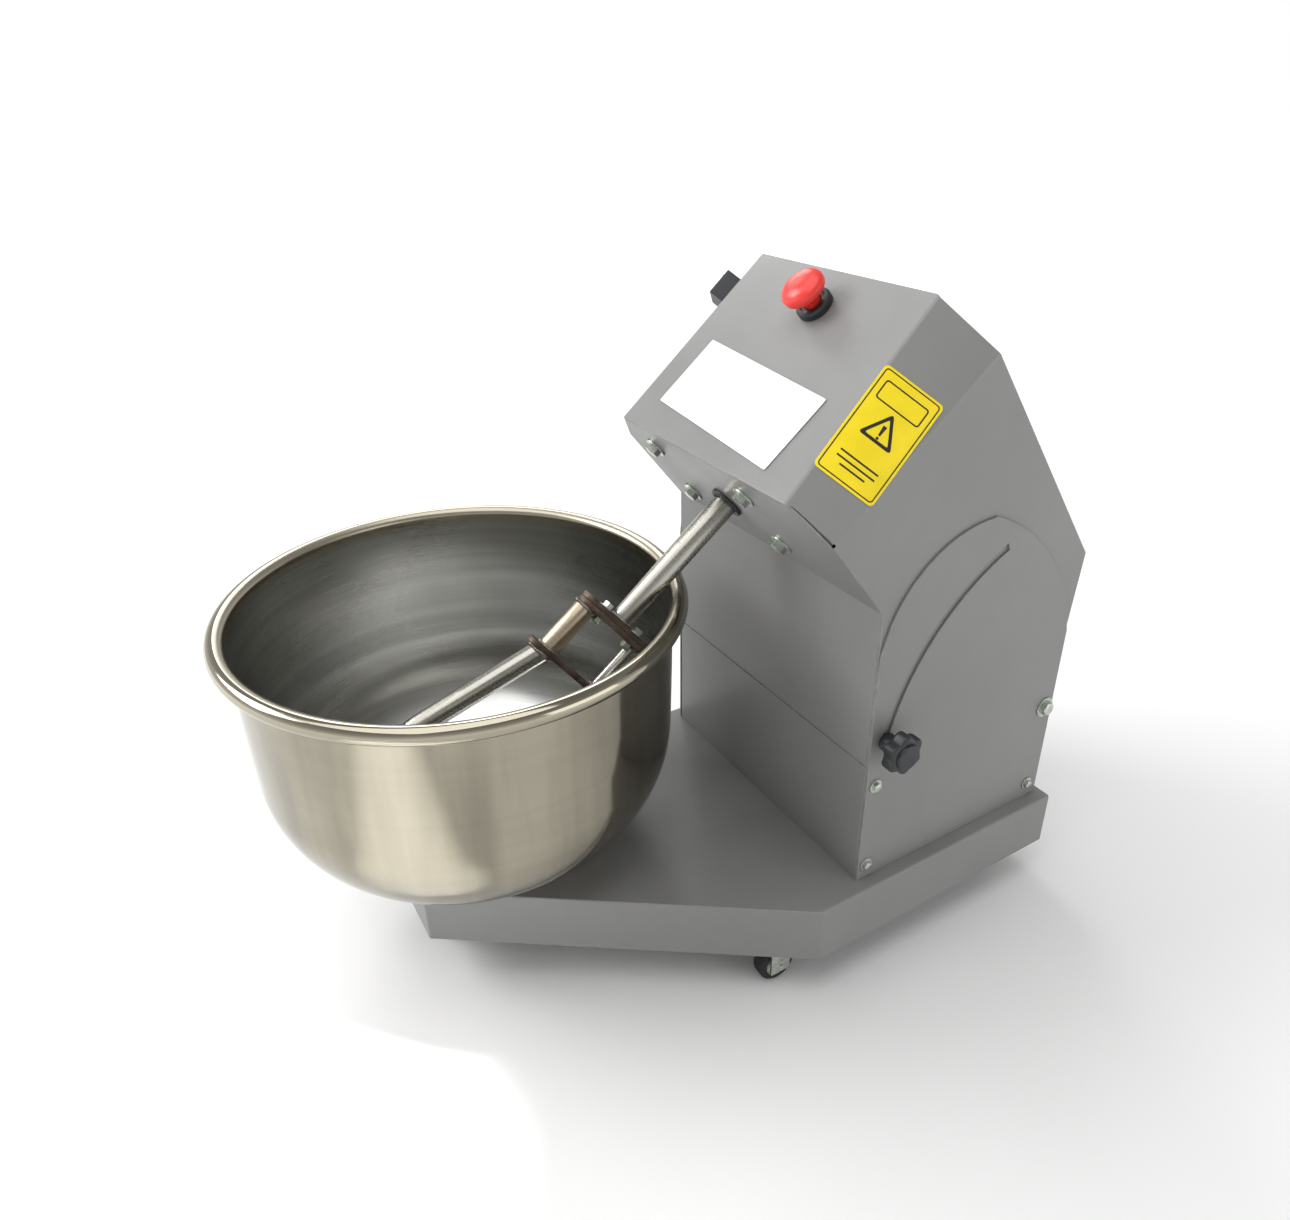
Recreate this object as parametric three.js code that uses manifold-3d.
// Spiral dough mixer with a tilting head, a free-turning bowl and four small castors.
// Millimetres, +Z up, +Y to the rear. The bowl stands in front of the housing, at -Y.
// Inside the root group, x = 0 is the middle of the housing, y = 0 its front panel and
// z = 0 the floor. The root group moves all of it so that the part's own origin is the
// middle of the underside of its bounding box.
import * as THREE from 'three';
import { mergeVertices } from 'three/addons/utils/BufferGeometryUtils.js';
import Module from 'manifold-3d';

const wasm = await Module();
wasm.setup();

// ---------- driving dimensions ----------
const GAP = 0.3;                 // clearance between pieces that touch
const SHEET = 2;                 // body sheet
const COVER = 1.5;               // head sheet

const WHEEL_R = 20;              // castor wheel
const WHEEL_W = 17;
const TRAY_CLEAR = 46;           // floor to the lower edge of the base tray
const TRAY_H = 61;
const TOP = TRAY_CLEAR + TRAY_H; // upper face of the base tray

const HALF_TRAY = 175;           // base tray: half width, rear edge, front edge, cut corner
const TRAY_REAR = 260;
const TRAY_FRONT = -357;
const TRAY_CUT_X = -46;
const TRAY_CUT_Y = -52;

const HALF_BODY = 160.4;         // outer face of the side plates
const HALF_HEAD = 158;           // outer face of the head's cheeks
const DEPTH = 250;               // front panel to rear panel
const SEAM_Z = TOP + 134;        // head meets the lower body at the front
const REAR_SEAM_Z = TOP + 181;
const REAR_PANEL_TOP = TOP + 174;

const BREAK_Z = TOP + 290.7;     // top of the upright front panel
const NOSE = [-84.3, TOP + 397.1];
const CREST = [65, TOP + 535.5];
const BACK = [259.5, TOP + 282.5];
const HEAD_REAR = 251.5;         // rear of the head where it meets the lower body
const CUT_AT_CREST = 115.8;      // corner cuts: half width at the crest and at the nose
const CUT_AT_NOSE = 126;
const CUT_BELOW_NOSE = 41.8;     // and how far below the nose they reach the cheeks

const PIVOT = [238.5, TOP + 114]; // hinge of the head: y, z
const PIVOT_BOLT_R = 4;
const TILT_SLOT_R = 227;
const TILT_SLOT_START = 168.35;  // degrees, from +Y towards +Z about the pivot
const TILT_SLOT_SWEEP = 52;
const SLOT_HALF_W = 4.2;
const ARCH_FRONT = [117, TOP + 235, 117]; // top of the side plates: two arcs, each y, z and radius
const ARCH_REAR = [37, TOP + 150, 219];
const ARCH_MEET = 68;            // degrees on the rear arc where the front one takes over

const BOWL_X = -101;
const BOWL_Y = -273.5;
const BOWL_WALL = 195.3;         // outer radius of the wall at the rim
const BOWL_TAPER = 3;            // the wall is this much narrower where it meets the bottom
const BOWL_SHEET = 2;
const BOWL_CORNER = 116;         // outer radius of the rounded bottom
const BOWL_BASE_Z = TOP + 19;
const BEAD_R = 8;                // rolled rim
const BEAD_Z = TOP + 263;

const SHAFT_X = -15;             // agitator shaft, across and up the nose panel
const SHAFT_UP = 62;
const SHAFT_R = 11.5;
const CRANK_AT = 151.5;          // nose panel to the middle of the two crank plates
const CRANK_TURN = 110;          // degrees, long end of the crank at rest
const CRANK_LONG = 43;
const CRANK_SHORT = 40;
const PLATE_T = 5;
const PLATE_HALF_W = 12.5;
const ROD_AT = 33;               // spacer rod and short rod, from the shaft's axis
const ROD_R = 10;
const SHORT_ROD_AT = 27;
const SHORT_ROD_R = 6;
const SHORT_ROD_Y = 4;
const ROD_PLATE_ENDS = [-36, 53]; // the plate under the two rods
const ROD_PLATE_HALF_W = 11;
const CRANK_BOLTS = [[16.5, 3], [-17, -6]];
const CRANK_BOLT_R = 4;
const CAGE_H = 56;               // crank plates to rod plate
const ARM_R = 10;
const ARM_LEAN = 17;             // degrees
const ARM_STRAIGHT = 113;
const ARM_BEND_R = 75;
const ARM_BEND = 36;             // degrees

const WORM_OFFSET = 38;          // shaft axis to worm axis
const WORM_DEPTH = -50;          // below the nose panel's outer face
const BOLT_X = [-101.3, 44.5];
const BOLT_Y = [32, 101.3];

const KNOB_REACH = 192;          // housing middle to the knob's outer face
const GLAND_REACH = 24;

const SPINDLE_R = 10;            // bowl's spindle and the bearing round it
const SPINDLE_DISC_R = 45;
const BEARING_R = 21;
const BEARING_SEAT_R = 52;

const GEARBOX = { left: -62, right: 52, low: 22, high: 112, depth: 80 };
const GEARBOX_FLANGE = { left: -115, right: 58, low: 18, high: 115, thick: 8 };
const LID_T = 4;
const MOTOR_R = 42;
const MOTOR_LENGTH = 96;         // from the worm's middle line to the motor's far end
const ROTOR_R = 6;
const WORM_R = 8.6;
const WHEEL_TEETH = 24;
const WORM_WHEEL_R = 29;

const STOP_R = 20;               // emergency stop: cap, stem and collar
const STOP_STEM_R = 8;
const STOP_COLLAR_R = 16.5;
const KNOB_R = 20;
const KNOB_BOLT_R = 3.9;

// ---------- materials ----------
const paint = { color: 0x84878a, roughness: 0.5, metalness: 0.15 };
const stainless = { color: 0xb9b4a8, roughness: 0.25, metalness: 1 };
const steel = { color: 0x8d8a84, roughness: 0.45, metalness: 0.9 };
const darkSteel = { color: 0x3a3532, roughness: 0.6, metalness: 0.7 };
const zinc = { color: 0xc3cac4, roughness: 0.35, metalness: 0.9 };
const bronze = { color: 0xa08a66, roughness: 0.45, metalness: 0.9 };
const black = { color: 0x292c2d, roughness: 0.5, metalness: 0 };
const red = { color: 0xe05a50, roughness: 0.4, metalness: 0 };
const yellow = { color: 0xefdd0b, roughness: 0.5, metalness: 0 };
const white = { color: 0xf2f2f0, roughness: 0.4, metalness: 0 };
const castIron = { color: 0x5d6468, roughness: 0.65, metalness: 0.4 };

// ---------- helpers ----------
const rad = THREE.MathUtils.degToRad;

// A closed three.js geometry as a manifold solid.
function solid(geometry) {
  const bare = geometry.index ? geometry.clone() : geometry;
  for (const name of ['normal', 'uv']) bare.deleteAttribute(name);
  const merged = mergeVertices(bare, 1e-4);
  return new wasm.Manifold(new wasm.Mesh({
    numProp: 3,
    vertProperties: new Float32Array(merged.attributes.position.array),
    triVerts: new Uint32Array(merged.index.array),
  }));
}

function geometryOf(body) {
  const { vertProperties, triVerts } = body.getMesh();
  const geometry = new THREE.BufferGeometry();
  geometry.setAttribute('position', new THREE.BufferAttribute(new Float32Array(vertProperties), 3));
  geometry.setIndex(new THREE.BufferAttribute(new Uint32Array(triVerts), 1));
  geometry.computeVertexNormals();
  return geometry;
}

// The first geometry with the others taken away, or joined to it.
function cut(base, ...tools) {
  return geometryOf(tools.reduce((body, tool) => body.subtract(solid(tool)), solid(base)));
}

function join(base, ...others) {
  return geometryOf(others.reduce((body, other) => body.add(solid(other)), solid(base)));
}

function common(a, b) {
  return geometryOf(solid(a).intersect(solid(b)));
}

// A box between two corners.
function block(x0, x1, y0, y1, z0, z1) {
  const box = new THREE.BoxGeometry(x1 - x0, y1 - y0, z1 - z0);
  return box.translate((x0 + x1) / 2, (y0 + y1) / 2, (z0 + z1) / 2);
}

// A cylinder along Z between two heights, at x, y.
function post(radius, z0, z1, x = 0, y = 0, sides = 24) {
  const body = new THREE.CylinderGeometry(radius, radius, z1 - z0, sides);
  return body.rotateX(Math.PI / 2).translate(x, y, (z0 + z1) / 2);
}

// A cylinder along X between two places, at y, z.
function pin(radius, x0, x1, y, z, sides = 20) {
  const body = new THREE.CylinderGeometry(radius, radius, x1 - x0, sides);
  return body.rotateZ(Math.PI / 2).translate((x0 + x1) / 2, y, z);
}

// A block or a pin on one side of the machine, from near to far of its middle.
function sideBlock(side, near, far, ...rest) {
  return side > 0 ? block(near, far, ...rest) : block(-far, -near, ...rest);
}

function sidePin(side, radius, near, far, ...rest) {
  return side > 0 ? pin(radius, near, far, ...rest) : pin(radius, -far, -near, ...rest);
}

function outline(points) {
  return new THREE.Shape(points.map(([a, b]) => new THREE.Vector2(a, b)));
}

// A plan outline (x, y) extruded upwards.
function plate(shape, z0, z1, curveSegments = 12) {
  const body = new THREE.ExtrudeGeometry(shape, { depth: z1 - z0, bevelEnabled: false, curveSegments });
  return body.translate(0, 0, z0);
}

// A side outline (y, z) extruded along X.
function profile(shape, x0, x1, curveSegments = 12) {
  const body = new THREE.ExtrudeGeometry(shape, { depth: x1 - x0, bevelEnabled: false, curveSegments });
  const yzx = new THREE.Matrix4().makeBasis(
    new THREE.Vector3(0, 1, 0), new THREE.Vector3(0, 0, 1), new THREE.Vector3(1, 0, 0));
  return body.applyMatrix4(yzx).translate(x0, 0, 0);
}

function lathe(points, sides = 32) {
  const body = new THREE.LatheGeometry(points.map(([r, z]) => new THREE.Vector2(r, z)), sides);
  return body.rotateX(Math.PI / 2);
}

// A ring about Z, made from its four corners.
function ring(inner, outer, z0, z1, sides = 32) {
  return lathe([[inner, z0], [outer, z0], [outer, z1], [inner, z1], [inner, z0]], sides);
}

function arc(cx, cy, radius, from, to, steps) {
  return Array.from({ length: steps + 1 }, (_, i) => {
    const a = rad(from + (to - from) * i / steps);
    return [cx + radius * Math.cos(a), cy + radius * Math.sin(a)];
  });
}

// Hexagon head bolt along Z: the head sits above z = 0 and the shank hangs below it.
function hexBolt(across, headH, shankR, shankLen, nutAt = null) {
  const head = post(across / Math.sqrt(3), 0, headH, 0, 0, 6);
  const shank = post(shankR, -shankLen, headH / 2, 0, 0, 12);
  if (nutAt === null) return join(head, shank);
  return join(head, shank, post(across / Math.sqrt(3), nutAt - headH, nutAt, 0, 0, 6));
}

function add(parent, name, geometry, look) {
  const mesh = new THREE.Mesh(geometry, new THREE.MeshStandardMaterial(look));
  mesh.name = name;
  parent.add(mesh);
  return mesh;
}

function group(parent, x, y, z, turnX = 0, turnZ = 0) {
  const child = new THREE.Group();
  child.position.set(x, y, z);
  child.rotation.set(turnX, 0, turnZ);
  parent.add(child);
  return child;
}

// The part's origin: the middle of the underside of the whole mixer's box.
const bowlEdge = BOWL_WALL - BEAD_R / 4 + 2 * BEAD_R;
const xRange = [BOWL_X - bowlEdge, KNOB_REACH];
const yRange = [BOWL_Y - bowlEdge, DEPTH + GLAND_REACH];
const mixer = new THREE.Group();
mixer.position.set(-(xRange[0] + xRange[1]) / 2, -(yRange[0] + yRange[1]) / 2, 0);

// ---------- base ----------
function trayOutline(inset) {
  const slope = Math.hypot(HALF_TRAY - TRAY_CUT_X, TRAY_CUT_Y - TRAY_FRONT);
  const alongFront = (slope - (TRAY_CUT_Y - TRAY_FRONT)) / (HALF_TRAY - TRAY_CUT_X);
  const alongSide = (slope - (HALF_TRAY - TRAY_CUT_X)) / (TRAY_CUT_Y - TRAY_FRONT);
  return outline([
    [-HALF_TRAY + inset, TRAY_FRONT + inset],
    [TRAY_CUT_X - inset * alongFront, TRAY_FRONT + inset],
    [HALF_TRAY - inset, TRAY_CUT_Y + inset * alongSide],
    [HALF_TRAY - inset, TRAY_REAR - inset],
    [-HALF_TRAY + inset, TRAY_REAR - inset],
  ]);
}

const CASTORS = {
  front_right: [132, -73],
  front_left: [-100, -325],
  rear_right: [120, 225],
  rear_left: [-120, 225],
};
const RAIL_Z = 56;
const RAIL_H = 12;
const RAIL_W = 40;

function addBase() {
  const tray = cut(
    plate(trayOutline(0), TRAY_CLEAR, TOP),
    plate(trayOutline(SHEET), TRAY_CLEAR - 1, TOP - SHEET),
    post(BEARING_R + 3, TOP - 5, TOP + 5, BOWL_X, BOWL_Y));
  add(mixer, 'base_tray', tray, paint);

  const rearHalf = HALF_TRAY - SHEET - GAP;
  const rearY = CASTORS.rear_right[1];
  add(mixer, 'castor_rail_rear',
    block(-rearHalf, rearHalf, rearY - RAIL_W / 2, rearY + RAIL_W / 2, RAIL_Z, RAIL_Z + RAIL_H), steel);
  const [fx, fy] = CASTORS.front_left;
  const [gx, gy] = CASTORS.front_right;
  const rail = new THREE.BoxGeometry(Math.hypot(gx - fx, gy - fy) + 3 * RAIL_W, RAIL_W, RAIL_H);
  rail.rotateZ(Math.atan2(gy - fy, gx - fx));
  rail.translate((fx + gx) / 2, (fy + gy) / 2, RAIL_Z + RAIL_H / 2);
  const inside = plate(trayOutline(SHEET + GAP), RAIL_Z - 1, RAIL_Z + RAIL_H + 1);
  add(mixer, 'castor_rail_front', common(rail, inside), steel);

  for (const [place, [x, y]] of Object.entries(CASTORS)) addCastor(place, x, y);
}

function addCastor(place, x, y) {
  const cheek = WHEEL_W / 2 + 1;
  const cheekT = 2.5;
  const axleR = 3;
  const topZ = RAIL_Z - GAP;
  const fork = join(
    block(-12, 12, -13, 13, topZ - 3, topZ),
    block(-cheek - cheekT, -cheek, -11, 11, WHEEL_R - 7, topZ - 2),
    block(cheek, cheek + cheekT, -11, 11, WHEEL_R - 7, topZ - 2),
    pin(axleR, -cheek - 2 * cheekT, cheek + 2 * cheekT, 0, WHEEL_R, 10));
  const wheelProfile = [
    [axleR + 0.4, -WHEEL_W / 2], [WHEEL_R - 2, -WHEEL_W / 2], [WHEEL_R, -WHEEL_W / 2 + 3],
    [WHEEL_R, WHEEL_W / 2 - 3], [WHEEL_R - 2, WHEEL_W / 2], [axleR + 0.4, WHEEL_W / 2],
    [axleR + 0.4, -WHEEL_W / 2],
  ];
  const castor = group(mixer, x, y, 0);
  add(castor, `castor_fork_${place}`, fork, zinc);
  const wheel = add(castor, `castor_wheel_${place}`, lathe(wheelProfile, 20), black);
  wheel.position.z = WHEEL_R;
  wheel.rotation.y = Math.PI / 2;
}

// ---------- lower body ----------
const SCREW_SPOTS = [[9.5, 17], [10.5, 111], [234, 18]];
const SCREW_R = 2.5;
const SCREW_LENGTH = 14;
const PIVOT_BOLT_LENGTH = 16;
const FRONT_FLANGE = 22;
const REAR_FLANGE = 26;
const REAR_FLANGE_TOP = TOP + 80;
const ARM_SLOT_Z = TOP + 96;
const ARM_T = 5;                 // arms of the tilting frame
const GLAND_X = 90;
const GLAND_Z = TOP + 40;
const GLAND_BORE_R = 4;
const GLAND_THREAD_R = 8;

function sidePlate(x0, x1) {
  const rearEnd = THREE.MathUtils.radToDeg(Math.acos((DEPTH - ARCH_REAR[0]) / ARCH_REAR[2]));
  const shape = outline([
    [0, TOP + GAP], [DEPTH, TOP + GAP],
    ...arc(...ARCH_REAR, rearEnd, ARCH_MEET, 30), ...arc(...ARCH_FRONT, 90, 180, 30),
  ]);
  const end = TILT_SLOT_START - TILT_SLOT_SWEEP;
  const slot = outline([
    ...arc(...PIVOT, TILT_SLOT_R + SLOT_HALF_W, TILT_SLOT_START + 1, end - 1, 40),
    ...arc(...PIVOT, TILT_SLOT_R - SLOT_HALF_W, end - 1, TILT_SLOT_START + 1, 40),
  ]);
  const tools = SCREW_SPOTS.map(([y, z]) => pin(SCREW_R + GAP, x0 - 1, x1 + 1, y, TOP + z, 12));
  return cut(profile(shape, x0, x1), profile(slot, x0 - 1, x1 + 1),
    pin(PIVOT_BOLT_R + 0.4, x0 - 1, x1 + 1, ...PIVOT), ...tools);
}

function addLowerBody() {
  const inner = HALF_BODY - SHEET;
  add(mixer, 'side_plate_right', sidePlate(inner, HALF_BODY), paint);
  add(mixer, 'side_plate_left', sidePlate(-HALF_BODY, -inner), paint);

  // Front and rear panels have flanges turned inwards at both sides, where the screws hold them.
  const half = inner - GAP;
  const frontZ = [TOP + GAP, SEAM_Z - 1];
  const screwHoles = [-1, 1].flatMap((side) => SCREW_SPOTS.map(([y, z]) =>
    sidePin(side, SCREW_R + GAP, half - 8, half + 5, y, TOP + z, 12)));
  const front = cut(block(-half, half, 0, FRONT_FLANGE, ...frontZ),
    block(-half + SHEET, half - SHEET, SHEET, FRONT_FLANGE + 1, frontZ[0] - 1, frontZ[1] + 1),
    ...screwHoles);
  add(mixer, 'lower_front_panel', front, paint);

  // The rear panel's flanges stop below the pivots, and above them it leaves a slot at each
  // side, where the arms of the tilting frame swing out.
  const flanges = [-1, 1].map((side) =>
    sideBlock(side, half - SHEET, half, DEPTH - REAR_FLANGE, DEPTH - SHEET / 2,
      TOP + GAP, REAR_FLANGE_TOP));
  const armSlots = [-1, 1].map((side) =>
    sideBlock(side, HALF_HEAD - ARM_T - 3.5, HALF_BODY, DEPTH - 5, DEPTH + 1,
      ARM_SLOT_Z, REAR_PANEL_TOP + 1));
  const rear = join(block(-half, half, DEPTH - SHEET, DEPTH, TOP + GAP, REAR_PANEL_TOP), ...flanges);
  const glandHole = post(GLAND_THREAD_R + 0.4, -SHEET - 1, 1, 0, 0, 20).rotateX(-Math.PI / 2);
  glandHole.translate(GLAND_X, DEPTH, GLAND_Z);
  add(mixer, 'lower_rear_panel', cut(rear, glandHole, ...armSlots, ...screwHoles), paint);

  const screw = hexBolt(8, 3.5, SCREW_R, SCREW_LENGTH);
  for (const [side, name] of [[1, 'right'], [-1, 'left']]) {
    SCREW_SPOTS.forEach(([y, z], i) => {
      const spot = ['front_low', 'front_high', 'rear_low'][i];
      const body = add(mixer, `side_screw_${name}_${spot}`, screw, zinc);
      body.position.set(side * (HALF_BODY + GAP), y, TOP + z);
      body.rotation.y = side * Math.PI / 2;
    });
    const pivotBolt = hexBolt(13, 5.3, PIVOT_BOLT_R, PIVOT_BOLT_LENGTH);
    const bolt = add(mixer, `pivot_bolt_${name}`, pivotBolt, zinc);
    bolt.position.set(side * (HALF_BODY + GAP), ...PIVOT);
    bolt.rotation.y = side * Math.PI / 2;
  }

  const gland = join(post(11, GAP, 6, 0, 0, 6), post(GLAND_THREAD_R, -10, 16, 0, 0, 20),
    post(6.5, 15, GLAND_REACH, 0, 0, 20));
  const bore = post(GLAND_BORE_R, 4, GLAND_REACH + 1, 0, 0, 16);
  const glandMesh = add(mixer, 'cable_gland', cut(gland, bore), black);
  glandMesh.position.set(GLAND_X, DEPTH, GLAND_Z);
  glandMesh.rotation.x = -Math.PI / 2;
  add(mixer, 'control_box', block(-130, -10, 60, 150, TOP + GAP, TOP + 62), white);
}

// ---------- head shell ----------
// The head's outside, drawn inwards by a sheet's thickness when inset is given.
function headSolid(inset) {
  const corners = [[0, SEAM_Z], [0, BREAK_Z], NOSE, CREST, BACK, [HEAD_REAR, REAR_SEAM_Z]];
  const points = inset ? insetOutline(corners, inset) : corners;
  const half = HALF_HEAD - inset;
  return cut(profile(outline(points), -half, half), cornerCut(1, inset), cornerCut(-1, inset));
}

// Moves every side of a clockwise outline inwards by the same distance.
function insetOutline(corners, inset) {
  const count = corners.length;
  const lines = corners.map(([y0, z0], i) => {
    const [y1, z1] = corners[(i + 1) % count];
    const length = Math.hypot(y1 - y0, z1 - z0);
    const normal = [(z1 - z0) / length, -(y1 - y0) / length];
    return { normal, distance: normal[0] * y0 + normal[1] * z0 + inset };
  });
  return corners.map((_, i) => {
    const a = lines[(i + count - 1) % count];
    const b = lines[i];
    const det = a.normal[0] * b.normal[1] - a.normal[1] * b.normal[0];
    return [
      (a.distance * b.normal[1] - b.distance * a.normal[1]) / det,
      (a.normal[0] * b.distance - b.normal[0] * a.distance) / det,
    ];
  });
}

// The plane of a corner cut, as a point and an outward normal, for the +X side.
const underside = new THREE.Vector3(0, 0 - NOSE[0], BREAK_Z - NOSE[1]).normalize();
const cutCrest = new THREE.Vector3(CUT_AT_CREST, ...CREST);
const cutNose = new THREE.Vector3(CUT_AT_NOSE, ...NOSE);
const cutCheek = new THREE.Vector3(HALF_BODY, ...NOSE).addScaledVector(underside, CUT_BELOW_NOSE);
const cutNormal = new THREE.Plane().setFromCoplanarPoints(cutNose, cutCheek, cutCrest).normal;

// A block that fills everything beyond the corner cut's plane.
function cornerCut(side, inset) {
  const reach = 400;
  const body = new THREE.BoxGeometry(reach, reach, reach).translate(0, 0, reach / 2 - inset);
  body.applyQuaternion(new THREE.Quaternion().setFromUnitVectors(new THREE.Vector3(0, 0, 1), cutNormal));
  body.translate(...cutCrest.toArray());
  return side > 0 ? body : mirrored(body);
}

// The same closed geometry on the other side of x = 0, with its faces still pointing out.
function mirrored(geometry) {
  const copy = geometry.clone().scale(-1, 1, 1);
  const index = copy.index.array;
  for (let i = 0; i < index.length; i += 3) [index[i], index[i + 1]] = [index[i + 1], index[i]];
  return copy;
}

const noseTurn = Math.atan2(BREAK_Z - NOSE[1], NOSE[0]) + Math.PI;
const noseLength = Math.hypot(NOSE[0], NOSE[1] - BREAK_Z);
const faceTurn = Math.atan2(CREST[1] - NOSE[1], CREST[0] - NOSE[0]);

// Frames on the head: the nose panel's +Y runs up the panel to the nose and its +Z
// points out of it along the shaft; the face's +Y runs up the slope and its +Z out of it.
const onNose = () => group(mixer, 0, 0, BREAK_Z, Math.PI - noseTurn);
const onFace = () => group(mixer, 0, ...NOSE, faceTurn);

// The region of the upright front and the nose panel, up to a lip's width below the nose.
function frontStrip(half, back, lip) {
  const upright = block(-half, half, -1, back, SEAM_Z - 1, BREAK_Z + 1);
  const slope = new THREE.BoxGeometry(2 * half, noseLength - lip, back + 1);
  slope.translate(0, (noseLength - lip) / 2, -(back + 1) / 2 + 1);
  slope.rotateX(Math.PI - noseTurn).translate(0, 0, BREAK_Z);
  return join(upright, slope);
}

function addHeadShell() {
  // The inside reaches down through the open bottom of the head.
  const inside = headSolid(COVER);
  const below = profile(outline([
    [COVER, SEAM_Z - 20], [COVER, SEAM_Z + 20], [HEAD_REAR - COVER, REAR_SEAM_Z + 20],
    [HEAD_REAR - COVER, REAR_SEAM_Z - 60]]), -HALF_HEAD + COVER, HALF_HEAD - COVER);
  const shell = cut(headSolid(0), inside, below);

  const half = HALF_HEAD - COVER;
  const facePorts = [
    onFaceHole(STOP_COLLAR_R - 1.1, ESTOP_X, ESTOP_UP),
    pin(6, HALF_HEAD - 10, HALF_HEAD + 10, ...knobSpot, 16),
  ];
  add(mixer, 'head_cover', cut(shell, frontStrip(half, SHEET + 2 * GAP, NOSE_LIP), ...facePorts), paint);

  const nosePorts = [
    onNoseHole(SHAFT_R + 1.5, SHAFT_X, SHAFT_UP),
    ...BOLT_X.flatMap((x) => BOLT_Y.map((y) => onNoseHole(4.3, x, y))),
  ];
  const skin = cut(headSolid(0), headSolid(SHEET), below);
  const sheet = common(skin, frontStrip(half - GAP, SHEET + GAP, NOSE_LIP + GAP));
  add(mixer, 'nose_panel', cut(sheet, ...nosePorts), paint);
}

function onNoseHole(radius, x, y) {
  return post(radius, -12, 12, x, y, 16).rotateX(Math.PI - noseTurn).translate(0, 0, BREAK_Z);
}

function onFaceHole(radius, x, y) {
  return post(radius, -12, 12, x, y, 24).rotateX(faceTurn).translate(0, ...NOSE);
}

const NOSE_LIP = 4;
const ESTOP_X = 3;
const ESTOP_UP = 165;
const LABEL_UP = 89;
const SWITCH_UP = 164;
const SWITCH_SIZE = 28;
const SWITCH_H = 20;
const ROCKER_PIVOT_H = SWITCH_H - 5;
const SIGN = { width: 178, height: 74, x: -1.6, up: 60, turn: -4.5 };
const knobAngle = rad(TILT_SLOT_START);
const knobSpot = [
  PIVOT[0] + TILT_SLOT_R * Math.cos(knobAngle),
  PIVOT[1] + TILT_SLOT_R * Math.sin(knobAngle),
];

// ---------- things on the head ----------
function addHeadFittings() {
  const face = onFace();
  const collar = cut(
    join(post(STOP_COLLAR_R, GAP, 8, 0, 0, 24), post(STOP_COLLAR_R - 2, -14, 2, 0, 0, 20)),
    post(STOP_STEM_R + GAP, -20, 10));
  add(face, 'estop_collar', collar, black).position.set(ESTOP_X, ESTOP_UP, 0);
  const mushroom = lathe([
    [0, -12], [STOP_STEM_R, -12], [STOP_STEM_R, 12.5], [12, 16.2], [18, 17.5], [STOP_R, 20],
    [STOP_R, 25], [17, 29.5], [9, 32], [0, 32.6],
  ], 24);
  add(face, 'estop_button', mushroom, red).position.set(ESTOP_X, ESTOP_UP, 0);
  const sign = add(face, 'name_plate', roundedSheet(SIGN.width, SIGN.height, 2, GAP, GAP + 1), white);
  sign.position.set(SIGN.x, SIGN.up, 0);
  sign.rotation.z = rad(SIGN.turn);

  add(cutGroup(1, LABEL_UP), 'safety_label', roundedSheet(56, 97, 4, GAP, GAP + 0.6), yellow);
  const left = cutGroup(-1, SWITCH_UP);
  const half = SWITCH_SIZE / 2;
  const housing = cut(block(-half, half, -half, half, GAP, SWITCH_H),
    block(-8.8, 8.8, -10.6, 10.6, 2.5, SWITCH_H + 1));
  add(left, 'switch_housing', housing, black);
  const rocker = profile(outline([
    [-9.2, -1], [-4.5, -4], [4.5, -4], [9.2, -1], [9.2, 7.6], [0, 5.2], [-9.4, 5.6],
  ]), -8.3, 8.3);
  add(left, 'switch_rocker', rocker, black).position.z = ROCKER_PIVOT_H;

  const knobTop = KNOB_REACH - HALF_BODY;
  const knob = group(mixer, HALF_BODY, ...knobSpot);
  knob.rotation.y = Math.PI / 2;
  const lobes = join(starHead(KNOB_R, 3.2, 6, knobTop - 17, knobTop - 3),
    post(13, knobTop - 4, knobTop, 0, 0, 24), post(9, 1, knobTop - 16, 0, 0, 24));
  add(knob, 'lock_knob', join(lobes, post(KNOB_BOLT_R, -14, 2, 0, 0, 16)), black);
}

function roundedSheet(width, height, corner, z0, z1) {
  const [w, h] = [width / 2 - corner, height / 2 - corner];
  const shape = outline([
    ...arc(w, h, corner, 0, 90, 4), ...arc(-w, h, corner, 90, 180, 4),
    ...arc(-w, -h, corner, 180, 270, 4), ...arc(w, -h, corner, 270, 360, 4),
  ]);
  return plate(shape, z0, z1);
}

function starHead(radius, depth, count, z0, z1) {
  const steps = 8 * count;
  const points = Array.from({ length: steps }, (_, i) => {
    const a = 2 * Math.PI * i / steps;
    const r = radius - depth * (1 - Math.cos(count * a)) / 2;
    return [r * Math.cos(a), r * Math.sin(a)];
  });
  return plate(outline(points), z0, z1);
}

// A frame on a corner cut: +Z out of it and +Y up along its long side, at a distance up
// from the middle of its lower edge.
function cutGroup(side, up) {
  const mirror = new THREE.Vector3(side, 1, 1);
  const rise = cutCrest.clone().sub(cutNose).normalize();
  const place = cutNose.clone().add(cutCheek).multiplyScalar(0.5).addScaledVector(rise, up);
  const along = rise.multiply(mirror);
  const out = cutNormal.clone().multiply(mirror);
  const across = new THREE.Vector3().crossVectors(along, out);
  const frame = new THREE.Group();
  frame.position.copy(place.multiply(mirror));
  frame.quaternion.setFromRotationMatrix(new THREE.Matrix4().makeBasis(across, along, out));
  mixer.add(frame);
  return frame;
}

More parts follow.
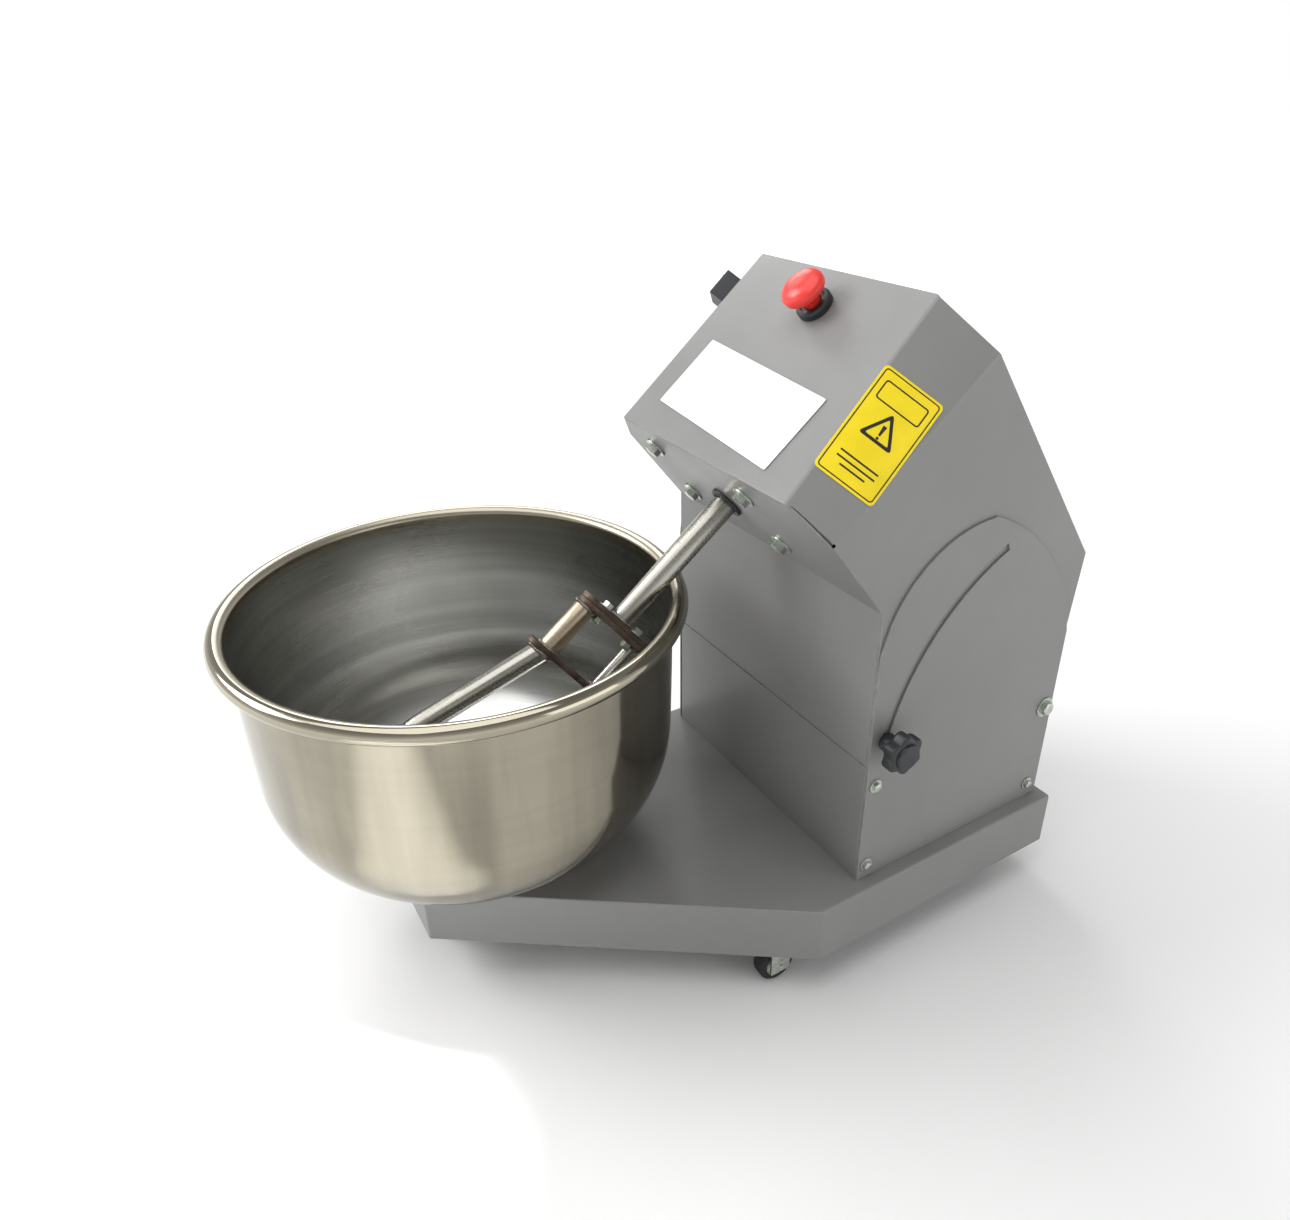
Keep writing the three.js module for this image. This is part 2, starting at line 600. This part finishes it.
// ---------- frame and drive inside the head ----------
function addDrive() {
  const armFace = HALF_HEAD - COVER - GAP;
  const arms = [-1, 1].map((side) => {
    const shape = outline([
      ...arc(...PIVOT, 10.6, -100, 60, 8), [232, TOP + 240], [190, TOP + 300], [60, TOP + 330],
      [30, TOP + 300], [150, TOP + 262],
    ]);
    const [x0, x1] = side > 0 ? [armFace - ARM_T, armFace] : [-armFace, ARM_T - armFace];
    return cut(profile(shape, x0, x1), pin(PIVOT_BOLT_R + 0.4, x0 - 1, x1 + 1, ...PIVOT));
  });
  const tube = pin(13, 1 - armFace, armFace - 1, 200, TOP + 262, 24);
  add(mixer, 'tilt_frame', join(arms[0], arms[1], tube), steel);

  const nose = onNose();
  const wormX = SHAFT_X + WORM_OFFSET;
  const flangeZ = -SHEET - GAP;
  const chamber = WORM_WHEEL_R + 4;
  const box = GEARBOX;
  const flange = GEARBOX_FLANGE;
  const gearbox = cut(
    join(block(flange.left, flange.right, flange.low, flange.high, flangeZ - flange.thick, flangeZ),
      block(box.left, box.right, box.low, box.high, -box.depth, flangeZ - flange.thick + 1)),
    post(SHAFT_R + 1.5, -20, 5, SHAFT_X, SHAFT_UP), post(23.8, -39, -17, SHAFT_X, SHAFT_UP),
    post(chamber, -81, -38, SHAFT_X, SHAFT_UP, 28),
    post(13, -70, 20).rotateX(Math.PI / 2).translate(wormX, 30, WORM_DEPTH),
    ...BOLT_X.flatMap((x) => BOLT_Y.map((y) => post(4.3, -14, 0, x, y, 12))));
  add(nose, 'gearbox_housing', gearbox, castIron);
  const lidZ = -box.depth - GAP;
  add(nose, 'gearbox_lid', block(box.left, box.right, box.low, box.high, lidZ - LID_T, lidZ), castIron);
  add(nose, 'output_bearing', ring(SHAFT_R + GAP, 23.5, -36, -22, 20), steel)
    .position.set(SHAFT_X, SHAFT_UP, 0);
  add(nose, 'shaft_seal', ring(SHAFT_R + GAP, 17, GAP, 3.6, 24), black)
    .position.set(SHAFT_X, SHAFT_UP, 0);
  for (const x of BOLT_X) {
    for (const y of BOLT_Y) {
      const name = `nose_bolt_${y > 60 ? 'upper' : 'lower'}_${x > 0 ? 'right' : 'left'}`;
      add(nose, name, hexBolt(13, 6, 4, 11), zinc).position.set(x, y, GAP);
    }
  }

  // The worm lies along the nose panel's Y axis; the motor hangs below the gearbox.
  const motor = group(nose, wormX, 0, WORM_DEPTH, Math.PI / 2);
  const can = lathe([
    [ROTOR_R + 1, -21], [30, -21], [MOTOR_R, -14], [MOTOR_R, MOTOR_LENGTH], [39.4, MOTOR_LENGTH],
    [39.4, MOTOR_LENGTH + 6], [34, MOTOR_LENGTH + 6], [34, MOTOR_LENGTH - 4],
    [ROTOR_R + 1, MOTOR_LENGTH - 4], [ROTOR_R + 1, -21],
  ], 32);
  add(motor, 'motor_body', can, castIron);
  add(motor, 'motor_fan_cover', lathe([
    [0, 121.5], [35, 121.5], [40, 117], [40, MOTOR_LENGTH + 1], [MOTOR_R, MOTOR_LENGTH + 1],
    [MOTOR_R, 118], [36, 124], [0, 124],
  ], 32), black);
  add(motor, 'motor_rotor', lathe([
    [0, -98], [ROTOR_R, -98], [ROTOR_R, -74], [WORM_R, -72], ...wormThread(), [WORM_R, -50],
    [ROTOR_R, -48], [ROTOR_R, 104], [26, 106], [26, 112], [0, 112],
  ], 16), steel);
}

// Ridges of the worm, from the far end towards the motor.
function wormThread() {
  const ridges = [];
  const root = ROTOR_R + 0.4;
  for (let z = -70; z < -52; z += 6) {
    ridges.push([root, z], [WORM_R, z + 1.5], [WORM_R, z + 3], [root, z + 4.5]);
  }
  return ridges;
}

// ---------- agitator ----------
function stadium(from, to, halfWidth) {
  return outline([
    ...arc(to - halfWidth, 0, halfWidth, -90, 90, 8),
    ...arc(from + halfWidth, 0, halfWidth, 90, 270, 8),
  ]);
}

function wormWheel() {
  const points = [];
  for (let i = 0; i < WHEEL_TEETH; i += 1) {
    const pitch = 360 / WHEEL_TEETH;
    const a = i * pitch;
    points.push(...arc(0, 0, WORM_WHEEL_R - 3.5, a - pitch * 0.22, a + pitch * 0.22, 1),
      ...arc(0, 0, WORM_WHEEL_R, a + pitch * 0.38, a + pitch * 0.62, 1));
  }
  return cut(plate(outline(points), WORM_DEPTH - 7, WORM_DEPTH + 7), post(SHAFT_R + GAP, -80, 0));
}

function addAgitator() {
  const crank = group(onNose(), SHAFT_X, SHAFT_UP, 0, 0, rad(CRANK_TURN));
  const plateTop = CRANK_AT - PLATE_T - GAP / 2;
  add(crank, 'mixer_shaft', lathe([
    [0, WORM_DEPTH - 12], [SHAFT_R, WORM_DEPTH - 12], [SHAFT_R, 60], [10, plateTop - 6],
    [10.4, plateTop - GAP], [0, plateTop - GAP],
  ], 24), stainless);
  add(crank, 'worm_wheel', wormWheel(), bronze);

  const boltHoles = () => CRANK_BOLTS.map(([x, y]) =>
    post(CRANK_BOLT_R + GAP, CRANK_AT - 8, CRANK_AT + 8, x, y, 12));
  const upper = stadium(-CRANK_SHORT, CRANK_LONG, PLATE_HALF_W);
  add(crank, 'crank_plate_upper',
    cut(plate(upper, plateTop, plateTop + PLATE_T), ...boltHoles()), darkSteel);
  add(crank, 'crank_plate_lower',
    cut(plate(upper, plateTop + PLATE_T + GAP, plateTop + 2 * PLATE_T + GAP), ...boltHoles()),
    darkSteel);
  const nutAt = -2 * PLATE_T - 3 * GAP;
  CRANK_BOLTS.forEach(([x, y], i) => {
    const bolt = add(crank, `crank_bolt_${i + 1}`, hexBolt(9, 5, CRANK_BOLT_R, 17, nutAt), zinc);
    bolt.position.set(x, y, plateTop - GAP);
    bolt.rotation.x = Math.PI;
  });

  const rodFrom = CRANK_AT + PLATE_T + GAP * 1.5;
  const rodTo = CRANK_AT + CAGE_H - GAP;
  add(crank, 'spacer_rod', post(ROD_R, rodFrom, rodTo, ROD_AT, 0, 20), bronze);
  add(crank, 'short_rod', post(SHORT_ROD_R, rodFrom, rodTo, -SHORT_ROD_AT, SHORT_ROD_Y, 16), stainless);
  add(crank, 'rod_plate', plate(stadium(...ROD_PLATE_ENDS, ROD_PLATE_HALF_W),
    CRANK_AT + CAGE_H, CRANK_AT + CAGE_H + PLATE_T), darkSteel);
  add(crank, 'mixing_arm', mixingArm(CRANK_AT + CAGE_H + PLATE_T + GAP), stainless);
}

// A round bar that leans outwards from the rod plate, then bends back towards the axis.
function mixingArm(from) {
  const lean = rad(ARM_LEAN);
  const dir = (angle) => new THREE.Vector3(Math.sin(angle), 0, Math.cos(angle));
  const start = new THREE.Vector3(ROD_AT, 0, from - 12);
  const straight = start.clone().addScaledVector(dir(lean), (ARM_STRAIGHT + 12) / Math.cos(lean));
  const points = [start, straight];
  const steps = 7;
  const step = rad(ARM_BEND) / steps;
  for (let i = 0; i < steps; i += 1) {
    const chord = 2 * ARM_BEND_R * Math.sin(step / 2);
    points.push(points.at(-1).clone().addScaledVector(dir(lean - step * (i + 0.5)), chord));
  }
  const halfWay = start.clone().lerp(straight, 0.5);
  const smooth = new THREE.CatmullRomCurve3([start, halfWay, ...points.slice(1)]);
  const section = new THREE.Shape(arc(0, 0, ARM_R, 0, 324, 9).map(([a, b]) => new THREE.Vector2(a, b)));
  const bar = new THREE.ExtrudeGeometry(section, { steps: 16, extrudePath: smooth });
  const tip = new THREE.SphereGeometry(ARM_R * 0.98, 10, 6).translate(...points.at(-1).toArray());
  return geometryOf(solid(bar).add(solid(tip)).subtract(solid(post(60, from - 60, from, 20, 0))));
}

// ---------- bowl ----------
function addBowl() {
  const bowl = group(mixer, BOWL_X, BOWL_Y, 0);
  const inner = BOWL_WALL - BOWL_SHEET;
  const innerCorner = BOWL_CORNER - BOWL_SHEET;
  const cornerZ = BOWL_BASE_Z + BOWL_CORNER;
  const beadAt = BOWL_WALL - BEAD_R / 4 + BEAD_R;
  const section = [
    [0, BOWL_BASE_Z],
    ...arc(BOWL_WALL - BOWL_TAPER - BOWL_CORNER, cornerZ, BOWL_CORNER, -90, 0, 6),
    ...arc(beadAt, BEAD_Z, BEAD_R, 210, 0, 6).filter(([r]) => r > BOWL_WALL),
    ...arc(beadAt, BEAD_Z, BEAD_R, 0, 150, 4).slice(1),
    [inner, BEAD_Z],
    ...arc(inner - BOWL_TAPER - innerCorner, cornerZ, innerCorner, 0, -90, 6),
    [0, BOWL_BASE_Z + BOWL_SHEET],
  ];
  add(bowl, 'mixing_bowl', lathe(section, 40), stainless);
  add(bowl, 'bowl_spindle', lathe([
    [0, TOP - 14], [SPINDLE_R, TOP - 14], [SPINDLE_R, BOWL_BASE_Z - 5],
    [SPINDLE_DISC_R, BOWL_BASE_Z - 5], [SPINDLE_DISC_R, BOWL_BASE_Z - GAP], [0, BOWL_BASE_Z - GAP],
  ], 32), steel);
  add(bowl, 'bowl_bearing', ring(SPINDLE_R + GAP, BEARING_R, TOP + 1, TOP + 11, 20), steel);
  add(bowl, 'bowl_bearing_housing', lathe([
    [BEARING_R + GAP, TOP + GAP], [BEARING_SEAT_R, TOP + GAP], [BEARING_SEAT_R, TOP + 6],
    [32, TOP + 8], [30, TOP + 12], [BEARING_R + GAP, TOP + 12], [BEARING_R + GAP, TOP + GAP],
  ], 32), castIron);
}

addBase();
addLowerBody();
addHeadShell();
addHeadFittings();
addDrive();
addAgitator();
addBowl();

export default mixer;
